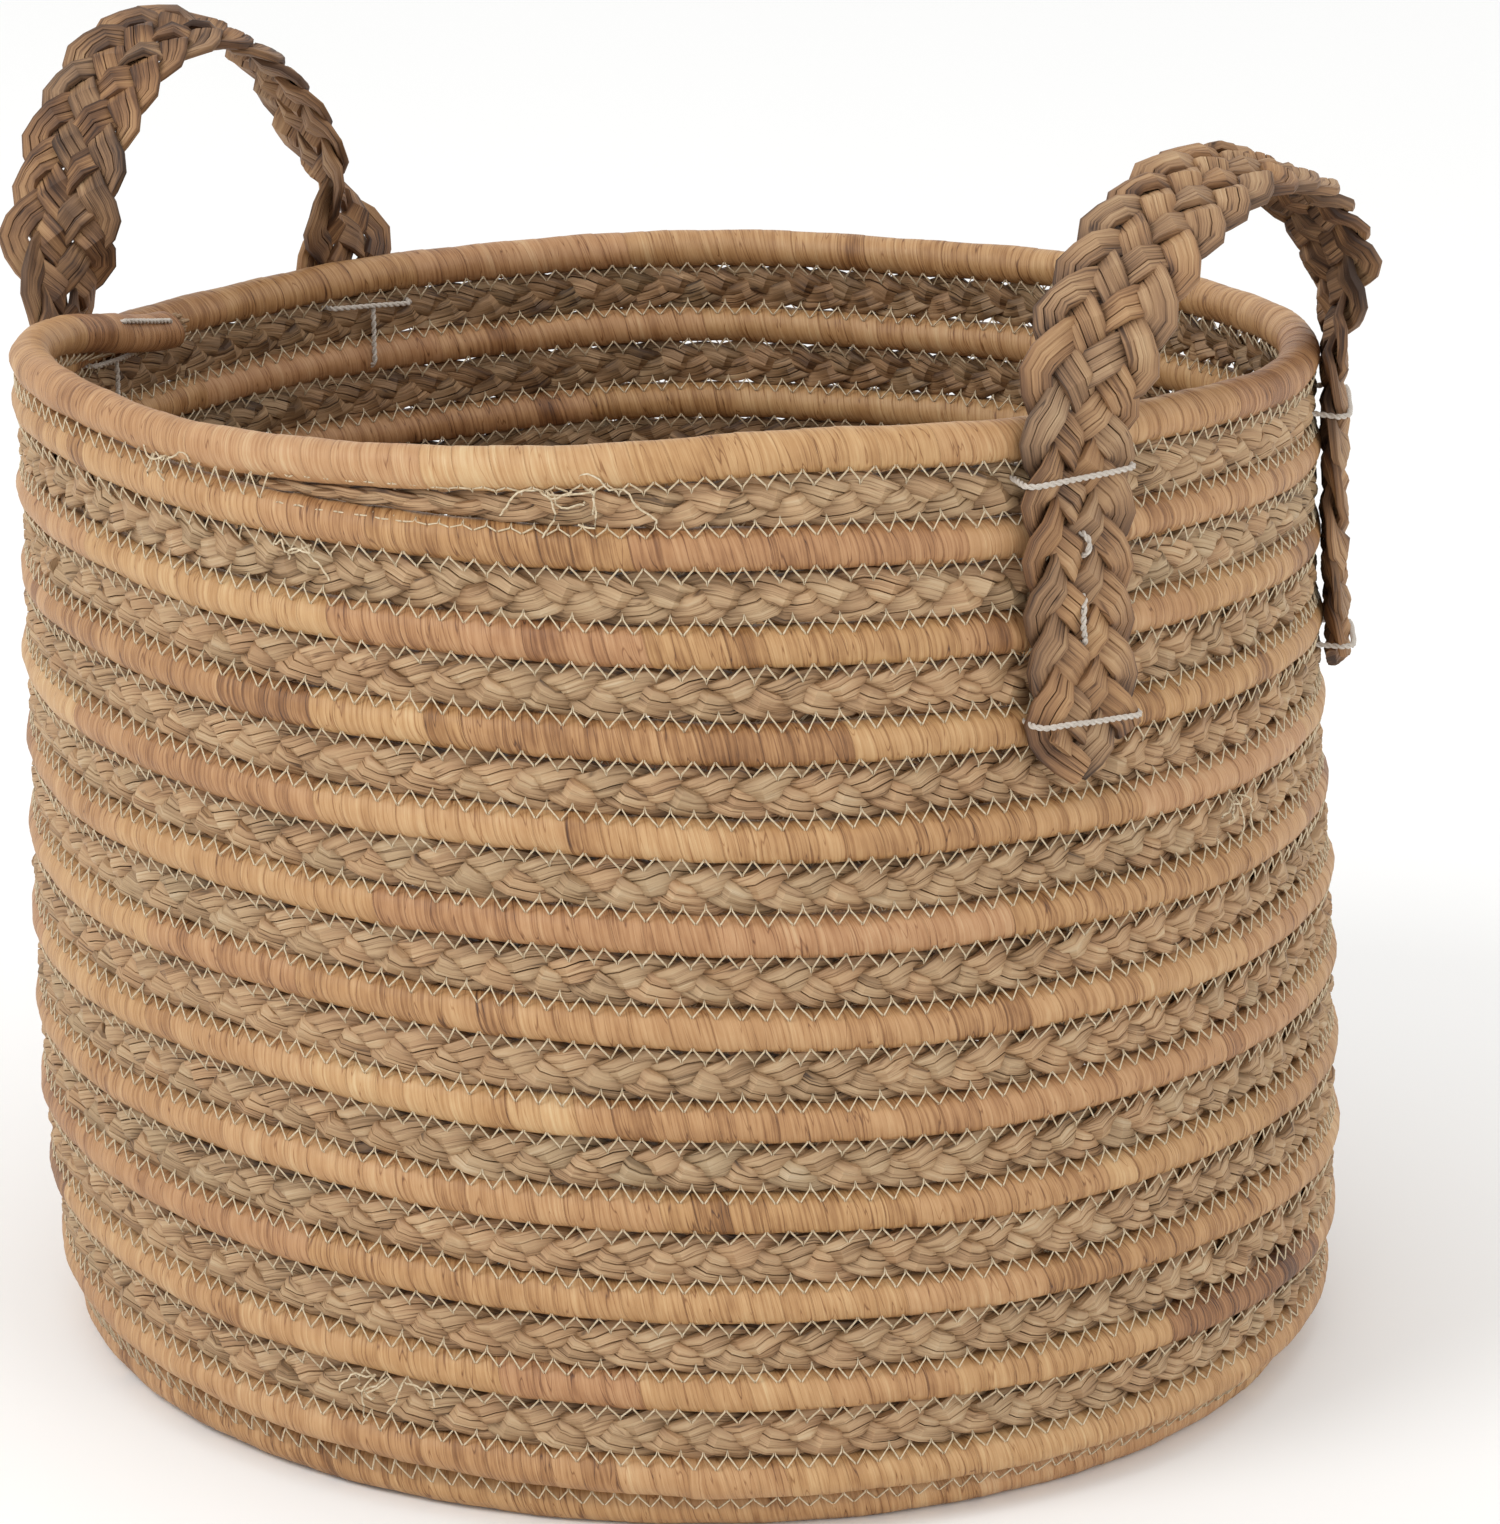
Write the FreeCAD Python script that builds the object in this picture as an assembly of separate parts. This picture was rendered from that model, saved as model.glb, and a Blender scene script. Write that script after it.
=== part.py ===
import FreeCAD, Part
import math
import os

# A tall round laundry basket sewn up from two long strips that climb side by side in one spiral:
# a coil wrapped in bark strip, and a three-strand plait of dried leaf. The flat base is the coil
# alone. Two flat five-strand straps are bound to the outside of the wall as handles.
# Millimetres. The origin is the middle of the base on the floor, +Z up, with a handle on +X and
# the other near -X.

Vector = FreeCAD.Vector

# the two strips of the wall
coil_radius = 6.2
plait_width = 13.2
plait_thickness = 9.6
course_rise = 26.3  # what one turn of coil and plait climbs
coil_on_coil = 13.05  # centre to centre where coil lies straight on coil
base_pitch = 13.0  # centre to centre across the flat base
stations_per_turn = 48
end_gap_turns = 0.0002  # the hair's breadth between one turn's solid and the next

# the run of the coil, counted in turns from its tucked-in top end down to the middle of the base
top_end_angle = 175.0
tuck_start_turn = 0.018
tuck_done_turn = 0.12
plait_top_turn = 0.2
plait_full_turn = 0.4
wall_foot_turn = 11.342
plait_foot_turn = 11.1
wall_foot_height = 17.4
wall_turns = 12
all_turns = 26
base_height = 6.0  # the coil's centre over the floor, a little under its radius, so it has worn flat
edge_radius = 184.2
foot_climb_angle = 56.0
start_radius = 4.6
start_height = 10.6
start_offset = 3.6
start_angle = 250.0

# how far the wall's courses stand from the middle, by height: a slight belly and a slight waist
wall_outline = [(17.0, 191.5), (70.0, 193.5), (130.0, 193.2), (195.0, 191.0), (250.0, 188.6), (308.0, 188.0)]

# how the soft basket stands: mouth a little square, one side a little high, the rim sagging where
# the coil's end is tucked in, all of it leaning
mouth_height = 306.0
mouth_squareness = 4.0
corner_angle = 206.0
mouth_tip = 0.0115
high_side_angle = -62.0
side_sag = 4.0
sag_angle = 165.0
lean = 0.0465
lean_angle = 208.0

# handle straps
strap_width = 37.0
strap_thickness = 6.5
strap_clearance = 0.5
leg_stations = 9
leg_top_below_rim = 2.0
pivot_above_rim = 12.0
bend_half_length = 14.0
piece_gap = 0.15
twist_height = 45.0  # the strap has turned its face up by this height over the rim
# for each handle: its legs' angles and lengths, how high the strap's middle rises over the rim
# coil's centre, how far it tips outwards, how far its face twists (positive where the outer face
# ends up on top), and how far below the rim each leg's upper cord lies
handles = {
    "handle_1": {
        "legs": (-25.8, 24.0), "leg_lengths": (88.0, 98.0), "rise": 65.0, "out": 4.0, "twist": 78.0,
        "cords_below_rim": (8.5, 14.5),
    },
    "handle_2": {
        "legs": (151.3, 190.0), "leg_lengths": (96.0, 96.0), "rise": 85.0, "out": 11.0, "twist": -78.0,
        "cords_below_rim": (8.5, 8.5),
    },
}

# white cord stitches
cord_radius = 0.7
cord_clearance = 0.3
lower_cord_above_end = 14.0


def smooth(x):
    """0 below 0, 1 above 1, an S-curve between."""
    x = min(1.0, max(0.0, x))
    return x * x * (3.0 - 2.0 * x)


def wall_radius(height):
    """The wall's own radius at a height, blended smoothly between the outline's stations."""
    if height <= wall_outline[0][0]:
        return wall_outline[0][1]
    for (low, r_low), (high, r_high) in zip(wall_outline, wall_outline[1:]):
        if height <= high:
            return r_low + (r_high - r_low) * smooth((height - low) / (high - low))
    return wall_outline[-1][1]


def helix_height(turn):
    """The height of the coil where it climbs at its steady rate."""
    return wall_foot_height + course_rise * (wall_foot_turn - turn)


def coil_at(turn):
    """Radius and height of the coil's centre, before the basket's lean."""
    if turn < plait_full_turn:
        below = helix_height(turn + 1.0)
        swing = math.radians(175.0 - 85.0 * smooth((turn - tuck_start_turn) / (tuck_done_turn - tuck_start_turn)))
        opened = smooth((turn - plait_top_turn) / (plait_full_turn - plait_top_turn))
        apart = coil_on_coil + (course_rise - coil_on_coil) * opened
        height = below + apart * math.sin(swing)
        return wall_radius(height) + coil_on_coil * math.cos(swing), height
    if turn < wall_foot_turn:
        height = helix_height(turn)
        return wall_radius(height), height
    along = turn - wall_foot_turn
    inner = edge_radius - base_pitch * along
    if along >= 1.0:
        return inner + base_pitch, base_height
    climb = math.radians(foot_climb_angle * (1.0 - smooth(along)))
    return inner + coil_on_coil * math.cos(climb), base_height + coil_on_coil * math.sin(climb)


def plait_at(turn):
    """Radius, height and width of the plait between the coil's turn and the one below it."""
    top = coil_at(turn)[1] - coil_radius
    bottom = coil_at(turn + 1.0)[1] + coil_radius
    height = (top + bottom) / 2.0
    width = min(plait_width, (top - bottom) - 0.4)
    return wall_radius(height), height, width


def place(angle, radius, height):
    """A point given by angle, radius and height, moved to where it is on the leaning basket."""
    a = math.radians(angle)
    up = height / mouth_height
    flattened = mouth_squareness * up * (1.0 - math.cos(4.0 * (a - math.radians(corner_angle)))) / 2.0
    sag = side_sag * up * max(0.0, math.cos(a - math.radians(sag_angle))) ** 2
    z = height * (1.0 + mouth_tip * math.cos(a - math.radians(high_side_angle))) - sag
    r = radius - flattened
    x = r * math.cos(a) + lean * z * math.cos(math.radians(lean_angle))
    y = r * math.sin(a) + lean * z * math.sin(math.radians(lean_angle))
    return Vector(x, y, z)


def turn_angle(turn):
    return top_end_angle + 360.0 * turn


def coil_point(turn):
    return place(turn_angle(turn), *coil_at(turn))


def plait_point(turn):
    radius, height, _ = plait_at(turn)
    return place(turn_angle(turn), radius, height)


def oval(centre, along, half_up, half_across):
    """An oval wire square to a direction, its longer half-axis as near upright as it can be."""
    along = Vector(along).normalize()
    up = Vector(0, 0, 1) - along * along.z
    up.normalize()
    across = along.cross(up)
    if half_up - half_across < 0.001:
        ring = Part.Circle(centre + up * half_up, centre + across * half_up, centre - up * half_up)
    else:
        ring = Part.Ellipse(centre + up * half_up, centre + across * half_across, centre)
    return Part.Wire([ring.toShape()])


def stations(first, last):
    """The turns at which a strip's solid gets a section: its two ends and the grid's steps between."""
    step = 1.0 / stations_per_turn
    inside = [k * step for k in range(math.ceil(first / step), math.floor(last / step) + 1)]
    inside = [t for t in inside if first + step / 3 < t < last - step / 3]
    return [first] + inside + [last]


def strip(first, last, point, size):
    """A closed solid along one turn of a strip."""
    reach = 0.002
    rings = []
    for t in stations(first, last):
        along = point(t + reach) - point(t - reach)
        rings.append(oval(point(t), along, *size(t)))
    return Part.makeLoft(rings, True, True)


def coil_size(turn):
    return coil_radius, coil_radius


def plait_size(turn):
    half = plait_at(turn)[2] / 2.0
    return half, min(plait_thickness / 2.0, 0.8 * half)


def worn_flat(solid):
    """Takes off what lies under the floor."""
    below = Part.makeBox(600, 600, 10, Vector(-300, -300, -10))
    return solid.cut(below)


def band(points, directions, normals, width, thickness):
    """A flat strap along a run of points, with its face turned to the normals given."""
    rings = []
    for p, along, normal in zip(points, directions, normals):
        along = Vector(along).normalize()
        face = normal - along * normal.dot(along)
        face.normalize()
        side = along.cross(face)
        w = side * (width / 2.0)
        t = face * (thickness / 2.0)
        rings.append(Part.makePolygon([p - w - t, p + w - t, p + w + t, p - w + t, p - w - t]))
    return Part.makeLoft(rings, True, True)


def rod(points, radius):
    """A cord laid along a run of points."""
    rings = []
    for i, p in enumerate(points):
        along = points[min(i + 1, len(points) - 1)] - points[max(i - 1, 0)]
        rings.append(oval(p, along, radius, radius))
    return Part.makeLoft(rings, True, True)


def rim_height(angle):
    """The height of the rim coil's centre at an angle, before the lean."""
    return coil_at(((angle - top_end_angle) / 360.0) % 1.0)[1]


def strap_stand_off(height):
    return wall_radius(height) + coil_radius + strap_clearance + strap_thickness / 2.0


def leg_point(angle, height):
    return place(angle, strap_stand_off(height), height)


def leg_solid(angle, length):
    """The part of a strap that lies down the outside of the wall."""
    top = rim_height(angle) - leg_top_below_rim
    outward = Vector(math.cos(math.radians(angle)), math.sin(math.radians(angle)), 0)
    points, directions = [], []
    for i in range(leg_stations):
        z = top - length * (1.0 - i / (leg_stations - 1.0))
        points.append(leg_point(angle, z))
        directions.append(leg_point(angle, z + 1.0) - leg_point(angle, z - 1.0))
    return band(points, directions, [outward] * len(points), strap_width, strap_thickness)


def arch(handle, from_rise, to_rise, steps, whole):
    """Points, directions and face normals along a strap's arch, between two heights over the rim.

    With whole true the run goes over the crown and down to the first height on the other side.
    """
    angle_a, angle_b = handle["legs"]
    start, end = leg_point(angle_a, rim_height(angle_a)), leg_point(angle_b, rim_height(angle_b))
    middle = (start + end) * 0.5
    half = (end - start) * 0.5
    half_direction = Vector(half)
    half_direction.normalize()
    outward = Vector(half.y, -half.x, 0)
    outward.normalize()
    first = math.asin(from_rise / handle["rise"])
    last = math.pi - first if whole else math.asin(to_rise / handle["rise"])
    crown = Vector(0, 0, 1) * handle["rise"] + outward * handle["out"]
    points, directions, normals = [], [], []
    for i in range(steps + 1):
        swing = first + (last - first) * i / steps
        points.append(middle - half * math.cos(swing) + crown * math.sin(swing))
        directions.append(half * math.sin(swing) + crown * math.cos(swing))
        angle = math.radians(angle_a + (angle_b - angle_a) * smooth(swing / math.pi))
        leg_out = Vector(math.cos(angle), math.sin(angle), 0)
        arch_out = Vector(0, 0, 1) * math.sin(swing) - half_direction * math.cos(swing)
        twist = math.radians(handle["twist"] * smooth(handle["rise"] * math.sin(swing) / twist_height))
        normals.append(leg_out * math.cos(twist) + arch_out * math.sin(twist))
    return points, directions, normals


def bend_solid(handle, other_side):
    """The short flexing length of a strap that joins its leg to its arch."""
    low, high = pivot_above_rim - bend_half_length + piece_gap, pivot_above_rim + bend_half_length - piece_gap
    turned = dict(handle)
    if other_side:
        turned["legs"] = handle["legs"][::-1]
        turned["out"] = -handle["out"]
    points, directions, normals = arch(turned, 0.0, high, 4, False)
    angle = turned["legs"][0]
    foot = rim_height(angle) + low
    points.insert(0, leg_point(angle, foot))
    directions.insert(0, leg_point(angle, foot + 1.0) - leg_point(angle, foot - 1.0))
    normals.insert(0, Vector(math.cos(math.radians(angle)), math.sin(math.radians(angle)), 0))
    return band(points, directions, normals, strap_width, strap_thickness)


def loop_solid(handle):
    """The arch of a handle, which the hand holds."""
    run = arch(handle, pivot_above_rim + bend_half_length, 0.0, 20, True)
    return band(*run, strap_width, strap_thickness)


def cord_solid(angle, height):
    """A cord stitch across a leg's outer face, turned in to the wall at both edges."""
    off = strap_thickness / 2.0 + cord_clearance + cord_radius
    reach = strap_width / 2.0 + cord_clearance + cord_radius
    middle = place(angle, strap_stand_off(height), height)
    outward = Vector(math.cos(math.radians(angle)), math.sin(math.radians(angle)), 0)
    side = Vector(-outward.y, outward.x, 0)
    inner = -strap_thickness / 2.0 + cord_clearance
    run = [(-reach, inner), (-reach, off - 0.95), (-reach + 1.0, off)]
    run += [(-s, o) for s, o in reversed(run)]
    return rod([middle + side * s + outward * o for s, o in run], cord_radius)


def tuck_cord_solid():
    """The cord stitch that holds the tucked-in end of the coil to the rim."""
    turn = tuck_start_turn + 0.02
    radius, height = coil_at(turn)
    angle = turn_angle(turn)
    inside = radius - coil_radius - 2.0 * cord_clearance - cord_radius
    points = [place(angle + a, inside, height) for a in (-3.4, 0.0, 3.4)]
    return rod(points, cord_radius)


def start_solid():
    """The coil's own beginning, bent over into a knob in the middle of the base and worn flat below."""
    angle = math.radians(start_angle)
    foot = Vector(start_offset * math.cos(angle), start_offset * math.sin(angle), 0.0)
    knob = Part.makeCylinder(start_radius, start_height, foot)
    top = [edge for edge in knob.Edges if edge.BoundBox.ZMin > start_height - 0.1]
    return knob.makeFillet(0.6 * start_radius, top)


def save(solid, node):
    os.makedirs("parts", exist_ok=True)
    solid.exportStep("parts/" + node + ".step")


# the wrapped coil, one node for each turn: twelve up the wall, the rest across the base
for turn in range(all_turns):
    first = tuck_start_turn if turn == 0 else turn + end_gap_turns
    last = turn + 1 - end_gap_turns
    body = strip(first, last, coil_point, coil_size)
    if turn + 1 >= wall_turns:
        body = worn_flat(body)
    save(body, "coil_turn_%02d" % (turn + 1))

save(start_solid(), "coil_start")

# the plait, one node for each turn
for turn in range(wall_turns - 1):
    first = plait_top_turn + 0.045 if turn == 0 else turn + end_gap_turns
    last = plait_foot_turn if turn == wall_turns - 2 else turn + 1 - end_gap_turns
    save(strip(first, last, plait_point, plait_size), "plait_turn_%02d" % (turn + 1))

# the two handles, and the cord stitches that bind their legs
for name, handle in handles.items():
    save(loop_solid(handle), name + "_loop")
    sides = zip("ab", handle["legs"], handle["leg_lengths"], handle["cords_below_rim"])
    for side, angle, length, cord_below_rim in sides:
        save(leg_solid(angle, length), name + "_leg_" + side)
        save(bend_solid(handle, side == "b"), name + "_bend_" + side)
        leg_foot = rim_height(angle) - leg_top_below_rim - length
        save(cord_solid(angle, rim_height(angle) - cord_below_rim), name + "_upper_cord_" + side)
        save(cord_solid(angle, leg_foot + lower_cord_above_end), name + "_lower_cord_" + side)

save(tuck_cord_solid(), "rim_end_cord")
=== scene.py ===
import math

import bmesh
import bpy
import numpy as np
from mathutils import Matrix


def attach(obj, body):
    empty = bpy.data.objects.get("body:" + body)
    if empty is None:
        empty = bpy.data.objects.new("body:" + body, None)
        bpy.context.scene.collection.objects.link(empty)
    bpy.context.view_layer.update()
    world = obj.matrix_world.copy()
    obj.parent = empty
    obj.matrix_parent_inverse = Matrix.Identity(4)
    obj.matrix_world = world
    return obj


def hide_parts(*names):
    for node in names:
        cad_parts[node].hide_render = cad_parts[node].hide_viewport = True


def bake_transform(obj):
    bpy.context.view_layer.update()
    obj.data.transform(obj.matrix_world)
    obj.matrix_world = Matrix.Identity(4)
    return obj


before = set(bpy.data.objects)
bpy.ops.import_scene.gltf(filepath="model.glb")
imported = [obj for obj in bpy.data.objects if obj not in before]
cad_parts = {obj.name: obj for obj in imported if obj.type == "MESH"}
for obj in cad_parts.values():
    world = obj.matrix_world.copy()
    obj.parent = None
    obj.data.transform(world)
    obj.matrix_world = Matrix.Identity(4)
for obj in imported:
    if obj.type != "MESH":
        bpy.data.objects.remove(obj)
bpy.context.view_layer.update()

# --------------------------------------------------
# The wrapped coil
# A long core of dried stems, wound round with strips of bark, lies in one spiral from the middle
# of the base to the rim. Each strip laps a little over the last, so the coil is faintly ribbed.

chance = np.random.default_rng(1342)

COIL_RADIUS = 6.2
COIL_ON_COIL = 13.05
COURSE_RISE = 26.3  # what one turn of coil and plait climbs, in mm like all the sizes here
BASE_PITCH = 13.0
TOP_END_ANGLE = 175.0  # where turns are counted from, in degrees round from +X
TUCK_START, TUCK_DONE = 0.018, 0.12
TUCKED_AT, TUCK_SWING = 175.0, 85.0  # degrees up from outwards, seen from the course below
PLAIT_TOP, PLAIT_FULL = 0.2, 0.4  # the turns where the plait starts and where it has its full room
WALL_FOOT = 11.342  # down to this turn the coil is wall, and past it the base's flat spiral
WALL_FOOT_HEIGHT = 17.4
ALL_TURNS, WALL_TURNS = 26, 12
BASE_HEIGHT = 6.0
EDGE_RADIUS = 184.2
FOOT_CLIMB = 56.0
# by height, the courses' distance from the middle: a slight belly, then narrower to the rim
OUTLINE_HEIGHTS = np.array([17.0, 70.0, 130.0, 195.0, 250.0, 308.0])
OUTLINE_RADII = np.array([191.5, 193.5, 193.2, 191.0, 188.6, 188.0])
MOUTH_HEIGHT = 306.0
MOUTH_SQUARENESS = 4.0  # how far the mouth is pressed in between its four soft corners
CORNER_ANGLE = 206.0
MOUTH_TIP = 0.0115  # how much higher the wall stands on its high side, as a share
HIGH_SIDE = -62.0
SIDE_SAG, SAG_ANGLE = 4.0, 165.0
LEAN, LEAN_ANGLE = 0.0465, 208.0  # sideways per mm of height, and which way
# the unevenness of hand work: waves round, mm of height for a radian, start, and depth in mm
SWAYS = ((3.0, 47.0, 0.7, 0.7), (7.0, -31.0, 2.1, 0.5))
LIFTS = ((4.0, -53.0, 4.0, 0.6), (9.0, 37.0, 1.2, 0.35))
EVEN_FOOT = 60.0  # below this the waves die away, so the base is flat


def smooth(x):
    """A soft step from 0 to 1."""
    x = np.clip(x, 0.0, 1.0)
    return x * x * (3.0 - 2.0 * x)


def wall_radius(height):
    i = np.clip(np.searchsorted(OUTLINE_HEIGHTS, height) - 1, 0, len(OUTLINE_HEIGHTS) - 2)
    share = smooth((height - OUTLINE_HEIGHTS[i]) / (OUTLINE_HEIGHTS[i + 1] - OUTLINE_HEIGHTS[i]))
    return OUTLINE_RADII[i] + (OUTLINE_RADII[i + 1] - OUTLINE_RADII[i]) * share


def helix_height(turn):
    return WALL_FOOT_HEIGHT + COURSE_RISE * (WALL_FOOT - turn)


def coil_at(turn):
    """Radius and height of the coil's centre at turns counted down from its top end."""
    turn = np.asarray(turn, float)
    swing = np.radians(TUCKED_AT - TUCK_SWING * smooth((turn - TUCK_START) / (TUCK_DONE - TUCK_START)))
    opened = smooth((turn - PLAIT_TOP) / (PLAIT_FULL - PLAIT_TOP))
    apart = COIL_ON_COIL + (COURSE_RISE - COIL_ON_COIL) * opened
    rim_height = helix_height(turn + 1.0) + apart * np.sin(swing)
    rim_radius = wall_radius(rim_height) + COIL_ON_COIL * np.cos(swing)
    along = np.maximum(turn - WALL_FOOT, 0.0)
    climb = np.radians(FOOT_CLIMB * (1.0 - smooth(along)))
    step = COIL_ON_COIL + (BASE_PITCH - COIL_ON_COIL) * smooth(along)
    base_radius = EDGE_RADIUS - BASE_PITCH * along + step * np.cos(climb)
    base_height = BASE_HEIGHT + COIL_ON_COIL * np.sin(climb)
    wall_height = helix_height(turn)
    at_rim, at_wall = turn < PLAIT_FULL, turn < WALL_FOOT
    height = np.where(at_rim, rim_height, np.where(at_wall, wall_height, base_height))
    radius = np.where(at_rim, rim_radius, np.where(at_wall, wall_radius(wall_height), base_radius))
    return radius, height


def waves(pattern, a, height):
    return sum(np.sin(count * a + height / climb + start) * depth for count, climb, start, depth in pattern)


def place(angle, radius, height):
    """A point given by angle, radius and height, moved to where it is on the leaning basket."""
    a = np.radians(angle)
    up = height / MOUTH_HEIGHT
    free = smooth(height / EVEN_FOOT)
    r = radius - MOUTH_SQUARENESS * up * (1.0 - np.cos(4.0 * (a - math.radians(CORNER_ANGLE)))) / 2.0
    r = r + waves(SWAYS, a, height) * free
    sag = SIDE_SAG * up * np.maximum(0.0, np.cos(a - math.radians(SAG_ANGLE))) ** 2
    z = height * (1.0 + MOUTH_TIP * np.cos(a - math.radians(HIGH_SIDE))) - sag
    z = z + waves(LIFTS, a, height) * free
    x = r * np.cos(a) + LEAN * z * math.cos(math.radians(LEAN_ANGLE))
    y = r * np.sin(a) + LEAN * z * math.sin(math.radians(LEAN_ANGLE))
    return np.stack([x, y, z], axis=-1)


def coil_point(turn):
    return place(TOP_END_ANGLE + 360.0 * turn, *coil_at(turn))


def unit(v):
    return v / np.maximum(np.linalg.norm(v, axis=-1, keepdims=True), 1e-9)


def dot(a, b):
    return np.sum(a * b, axis=-1, keepdims=True)


def frames(point, turn):
    """Centre, direction, up and outward at each turn of a strip that climbs the wall."""
    reach = 0.0015
    along = unit(point(turn + reach) - point(turn - reach))
    up = unit(np.array([0.0, 0.0, 1.0]) - along * along[..., 2:])
    return point(turn), along, up, np.cross(along, up)


def run_lengths(points):
    """The length of a run of points up to each of them."""
    return np.concatenate([[0.0], np.cumsum(np.linalg.norm(np.diff(points, axis=0), axis=1))])


def lengths_along(point, first, last):
    """A list of turns, half a degree apart, and the length of strip up to each."""
    turns = np.arange(first, last, 1.0 / 720.0)
    return turns, run_lengths(point(turns))


def linear(hex_colour):
    """An sRGB hex colour as linear RGBA."""
    parts = [int(hex_colour[i:i + 2], 16) / 255.0 for i in (1, 3, 5)]
    return [p / 12.92 if p <= 0.04045 else ((p + 0.055) / 1.055) ** 2.4 for p in parts] + [1.0]


def add_node(tree, kind, links=(), ramp=(), values=(), **settings):
    """Adds a node. settings named like its properties are set on it, the rest go to its sockets.

    links are pairs of an input's name or number and the socket that feeds it, values are pairs of an
    input's number and what it is set to, and ramp is a colour ramp's places and colours.
    """
    node = tree.nodes.new("ShaderNode" + kind)
    for name, value in settings.items():
        if hasattr(node, name):
            setattr(node, name, value)
        else:
            node.inputs[name.replace("_", " ")].default_value = value
    for key, source in links:
        tree.links.new(source, node.inputs[key])
    for key, value in values:
        node.inputs[key].default_value = value
    if ramp:
        stops = node.color_ramp.elements
        while len(stops) < len(ramp):
            stops.new(0.5)
        for stop, (position, colour) in zip(stops, ramp):
            stop.position = position
            stop.color = linear(colour)
    return node


def new_material(name):
    """A node material with nothing on it yet but its shader."""
    material = bpy.data.materials.new(name)
    material.use_nodes = True
    return material, material.node_tree, material.node_tree.nodes["Principled BSDF"]


def block(points, quads, quad_uv, polys=(), tone=None, fibre=None):
    """A run of mesh: points in mm, quads with their corners' places on the map, and end faces."""
    still = np.zeros((len(points), 3))
    return {
        "points": points, "quads": quads, "uv": quad_uv, "polys": list(polys),
        "tone": still if tone is None else tone, "fibre": still if fibre is None else fibre,
    }


LANE_LOW, LANE_TALL = 0.04, 0.92  # the part of a lane that is used, so that lanes don't touch
LANES_TALL, END_ROW, END_SIZE = 0.96, 0.98, 0.012  # the lanes fill the map up to the row of end faces


def lane_uv(steps, around, lane, lanes, cuts):
    """Places on the map for a tube's grid of faces, cut into lanes that lie side by side."""
    per_lane = int(math.ceil(steps / cuts))
    i = np.arange(steps)[:, None]
    j = np.arange(around)[None, :]
    row = lane * cuts + i // per_lane
    left = (i % per_lane) / per_lane
    right = left + 1.0 / per_lane
    low = (row + LANE_LOW + LANE_TALL * j / around) / (lanes * cuts) * LANES_TALL
    high = (row + LANE_LOW + LANE_TALL * (j + 1) / around) / (lanes * cuts) * LANES_TALL
    left, right = [0.01 + 0.98 * np.broadcast_to(side, low.shape) for side in (left, right)]
    corners = [(left, low), (left, high), (right, high), (right, low)]
    return np.stack([np.stack(c, axis=-1) for c in corners], axis=2)


def tube(rings, lane=0, lanes=1, cuts=1, tone=None, fibre=None):
    """A closed tube through rings of points that run anticlockwise as seen from its far end."""
    steps, around = rings.shape[0] - 1, rings.shape[1]
    grid = np.arange(rings.shape[0] * around).reshape(rings.shape[0], around)
    beside = np.roll(grid, -1, axis=1)
    quads = np.stack([grid[:-1], beside[:-1], beside[1:], grid[1:]], axis=-1)
    uv = lane_uv(steps, around, lane, lanes, cuts)
    polys = [grid[0][::-1], grid[-1]]
    flat = [None if v is None else v.reshape(-1, 3) for v in (tone, fibre)]
    return block(rings.reshape(-1, 3), quads.reshape(-1, 4), uv.reshape(-1, 4, 2), polys, *flat)


SHARP_FOLD = 38.0  # degrees; a sharper fold between faces is drawn as an edge, not rounded off


def make_piece(name, blocks, material, floor_at=0.05):
    """Joins blocks of mesh into one smooth object, with its map and its two measures for shading.

    Nothing in it reaches below floor_at, in mm.
    """
    count = 0
    quads, polys, quad_uv = [], [], []
    for b in blocks:
        quads.append(b["quads"] + count)
        polys += [p + count for p in b["polys"]]
        quad_uv.append(b["uv"])
        count += len(b["points"])
    points = np.concatenate([b["points"] for b in blocks])
    points[:, 2] = np.maximum(points[:, 2], floor_at)
    quads = np.concatenate(quads)
    poly_corners = np.concatenate(polys) if polys else np.zeros(0, int)
    sizes = np.concatenate([np.full(len(quads), 4), [len(p) for p in polys]]).astype(int)
    mesh = bpy.data.meshes.new(name)
    mesh.vertices.add(len(points))
    mesh.vertices.foreach_set("co", (points * 0.001).astype(np.float32).ravel())
    mesh.loops.add(quads.size + len(poly_corners))
    corners = np.concatenate([quads.ravel(), poly_corners]).astype(np.int32)
    mesh.loops.foreach_set("vertex_index", corners)
    mesh.polygons.add(len(sizes))
    starts = np.concatenate([[0], np.cumsum(sizes)[:-1]]).astype(np.int32)
    mesh.polygons.foreach_set("loop_start", starts)
    mesh.update(calc_edges=True)
    poly_uv = []
    for n, p in enumerate(polys):
        turn = np.arange(len(p)) / len(p) * 2.0 * math.pi
        middle = (n + 0.5) / len(polys)
        spread = min(END_SIZE, 0.35 / len(polys))
        across, above = middle + spread * np.cos(turn), END_ROW + END_SIZE * np.sin(turn)
        poly_uv.append(np.stack([across, above], axis=-1))
    uv = np.concatenate([u.reshape(-1, 2) for u in quad_uv] + poly_uv)
    mesh.uv_layers.new(name="OFBake").data.foreach_set("uv", uv.astype(np.float32).ravel())
    for measure in ("tone", "fibre"):
        values = np.concatenate([b[measure] for b in blocks]).astype(np.float32)
        mesh.attributes.new(measure, "FLOAT_VECTOR", "POINT").data.foreach_set("vector", values.ravel())
    mesh.polygons.foreach_set("use_smooth", np.ones(len(sizes), bool))
    mesh.set_sharp_from_angle(angle=math.radians(SHARP_FOLD))
    mesh.materials.append(material)
    piece = bpy.data.objects.new(name, mesh)
    bpy.context.scene.collection.objects.link(piece)
    return piece


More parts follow.
